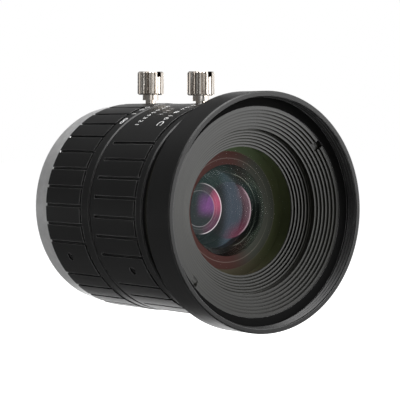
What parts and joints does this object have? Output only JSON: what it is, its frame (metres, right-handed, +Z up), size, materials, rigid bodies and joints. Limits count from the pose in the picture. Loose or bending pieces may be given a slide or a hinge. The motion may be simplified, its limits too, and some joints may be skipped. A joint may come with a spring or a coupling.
{
  "type": "machine vision camera lens",
  "caption": "Short camera lens with a threaded rear mount, knurled focus and iris rings, each with a lock screw on top, and a wide ridged front hood round coated glass.",
  "frame": {"origin": "centre of the mount flange, where the silver ring seats on the camera", "axes": "+Z up through the lock screws and the index side, -Y along the lens axis out of the front, +Y into the camera"},
  "size_m": [0.0422, 0.051, 0.0463],
  "materials": {
    "silver_anodised": "turned, clear anodised, satin",
    "black_anodised": "fine turned, black anodised, satin",
    "matte_black": "matt black anodised against stray light",
    "nickel": "nickel plated, straight knurl",
    "blackened_steel": "black oxide",
    "bare_steel": "ground",
    "iris_metal": "matt black",
    "blade_metal": "thin sheet, matt black oxide",
    "nylon": "natural",
    "coated_glass": "polished, anti-reflection coating",
    "glass": "polished, coated"
  },
  "bodies": {
    "mount": {"mount_ring": "silver_anodised", "fixed_barrel": "black_anodised", "guide_pins": "bare_steel"},
    "focus_ring": {"focus_ring": "black_anodised", "focus_set_screws": "blackened_steel"},
    "focus_lock_pad": {"focus_lock_pad": "nylon"},
    "focus_lock_screw": {"focus_lock_screw": "nickel"},
    "lens_barrel": {"main_barrel": "black_anodised", "iris_stop_ring": "matte_black", "front_hood": "black_anodised", "front_retaining_ring": "black_anodised", "front_baffle": "matte_black", "front_element": "coated_glass", "front_spacer": "matte_black", "second_element": "glass", "second_spacer": "matte_black", "third_element": "glass", "iris_base_plate": "iris_metal", "iris_cover_ring": "matte_black", "rear_cell": "black_anodised", "doublet_retaining_ring": "matte_black", "doublet_front_element": "glass", "doublet_rear_element": "glass", "rear_element": "coated_glass", "rear_retaining_ring": "matte_black"},
    "iris_ring": {"iris_ring": "black_anodised", "iris_set_screws": "blackened_steel", "iris_drive_pin": "bare_steel", "iris_drive_ring": "iris_metal"},
    "iris_lock_pad": {"iris_lock_pad": "nylon"},
    "iris_lock_screw": {"iris_lock_screw": "nickel"},
    "iris_blade_1": {"iris_blade_1": "blade_metal"},
    "iris_blade_2": {"iris_blade_2": "blade_metal"},
    "iris_blade_3": {"iris_blade_3": "blade_metal"},
    "iris_blade_4": {"iris_blade_4": "blade_metal"},
    "iris_blade_5": {"iris_blade_5": "blade_metal"},
    "iris_blade_6": {"iris_blade_6": "blade_metal"}
  },
  "joints": [
    {"name": "focus_travel", "type": "slide", "parent": "mount", "child": "lens_barrel", "axis": [0, -1, 0], "range_m": [-0.00025, 0.0006666]},
    {"name": "focus_turn", "type": "hinge", "parent": "mount", "child": "focus_ring", "pos_m": [0, -0.011, 0], "axis": [0, 1, 0], "range_deg": [-80.01, 30.01]},
    {"name": "focus_lock_lift", "type": "slide", "parent": "focus_ring", "child": "focus_lock_pad", "axis": [0, 0, 1], "range_m": [0, 0.0008]},
    {"name": "focus_lock_turn", "type": "hinge", "parent": "focus_lock_pad", "child": "focus_lock_screw", "pos_m": [0, -0.011, 0.02], "axis": [0, 0, 1], "range_deg": [0, 720.1]},
    {"name": "iris_turn", "type": "hinge", "parent": "lens_barrel", "child": "iris_ring", "pos_m": [0, -0.028, 0], "axis": [0, 1, 0], "range_deg": [0, 36]},
    {"name": "iris_lock_lift", "type": "slide", "parent": "iris_ring", "child": "iris_lock_pad", "axis": [0, 0, 1], "range_m": [0, 0.0008]},
    {"name": "iris_lock_turn", "type": "hinge", "parent": "iris_lock_pad", "child": "iris_lock_screw", "pos_m": [0, -0.027, 0.02], "axis": [0, 0, 1], "range_deg": [0, 720.1]},
    {"name": "iris_blade_1_turn", "type": "hinge", "parent": "lens_barrel", "child": "iris_blade_1", "pos_m": [0.00575, -0.023, 0.00996], "axis": [0, -1, 0], "range_deg": [0, 30.01]},
    {"name": "iris_blade_2_turn", "type": "hinge", "parent": "lens_barrel", "child": "iris_blade_2", "pos_m": [-0.00575, -0.023, 0.00996], "axis": [0, -1, 0], "range_deg": [0, 30.01]},
    {"name": "iris_blade_3_turn", "type": "hinge", "parent": "lens_barrel", "child": "iris_blade_3", "pos_m": [-0.0115, -0.023, 0], "axis": [0, -1, 0], "range_deg": [0, 30.01]},
    {"name": "iris_blade_4_turn", "type": "hinge", "parent": "lens_barrel", "child": "iris_blade_4", "pos_m": [-0.00575, -0.023, -0.00996], "axis": [0, -1, 0], "range_deg": [0, 30.01]},
    {"name": "iris_blade_5_turn", "type": "hinge", "parent": "lens_barrel", "child": "iris_blade_5", "pos_m": [0.00575, -0.023, -0.00996], "axis": [0, -1, 0], "range_deg": [0, 30.01]},
    {"name": "iris_blade_6_turn", "type": "hinge", "parent": "lens_barrel", "child": "iris_blade_6", "pos_m": [0.0115, -0.023, 0], "axis": [0, -1, 0], "range_deg": [0, 30.01]}
  ],
  "couplings": [
    {"joint": "focus_turn", "follows": "focus_travel", "rad_per_m": -2094.4},
    {"joint": "focus_lock_turn", "follows": "focus_lock_lift", "rad_per_m": 15708},
    {"joint": "iris_lock_turn", "follows": "iris_lock_lift", "rad_per_m": 15708},
    {"joint": "iris_blade_1_turn", "follows": "iris_turn", "ratio": 0.83333},
    {"joint": "iris_blade_2_turn", "follows": "iris_turn", "ratio": 0.83333},
    {"joint": "iris_blade_3_turn", "follows": "iris_turn", "ratio": 0.83333},
    {"joint": "iris_blade_4_turn", "follows": "iris_turn", "ratio": 0.83333},
    {"joint": "iris_blade_5_turn", "follows": "iris_turn", "ratio": 0.83333},
    {"joint": "iris_blade_6_turn", "follows": "iris_turn", "ratio": 0.83333}
  ]
}
